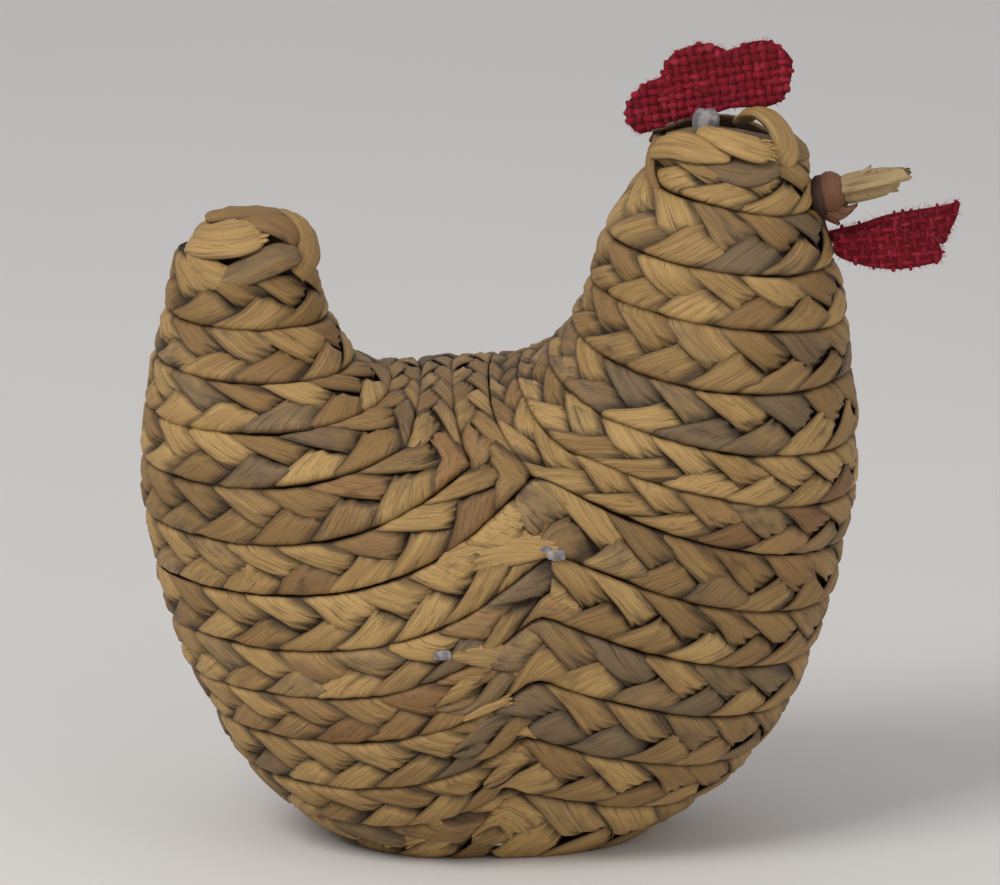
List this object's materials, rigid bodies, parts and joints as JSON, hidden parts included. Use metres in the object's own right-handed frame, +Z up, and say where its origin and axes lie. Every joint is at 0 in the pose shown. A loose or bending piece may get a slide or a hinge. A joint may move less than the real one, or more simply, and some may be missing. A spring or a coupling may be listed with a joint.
{
  "type": "hen figurine",
  "caption": "Standing hen figurine of flat plaited leaf wound on a padded form, with upright tail and neck, a red cloth comb and wattle and a rolled leaf beak.",
  "frame": {"origin": "middle of the flat underside, on the surface that the hen stands on", "axes": "+X from the tail to the beak, +Y to the back of the picture's view, +Z up"},
  "size_m": [0.1931, 0.0988, 0.192],
  "materials": {
    "plait": "dried plant leaf, plaited, soft sheen",
    "dark_leaf": "dried plant leaf, darker and matt",
    "pale_leaf": "rolled pale leaf stalk, dry and fibrous",
    "form": "plain brown padded form, hidden",
    "red_cloth": "coarse open weave, frayed at the cut edge",
    "glue": "cloudy set glue, smooth"
  },
  "bodies": {
    "root": {"padded_form": "form", "tail_plait": "plait", "neck_plait": "plait", "body_plait_1": "plait", "body_plait_2": "plait", "body_plait_3": "plait", "body_plait_4": "plait", "body_plait_5": "plait", "body_plait_6": "plait", "base_coil": "plait", "tail_cap_plait": "plait", "tail_tip_knot": "plait", "crown_plait": "plait", "crown_knot": "dark_leaf", "crown_loop": "plait", "comb": "red_cloth", "comb_glue": "glue", "beak_knot": "dark_leaf", "beak_stem": "pale_leaf", "wattle_front": "red_cloth", "wattle_back": "red_cloth"}
  },
  "joints": []
}
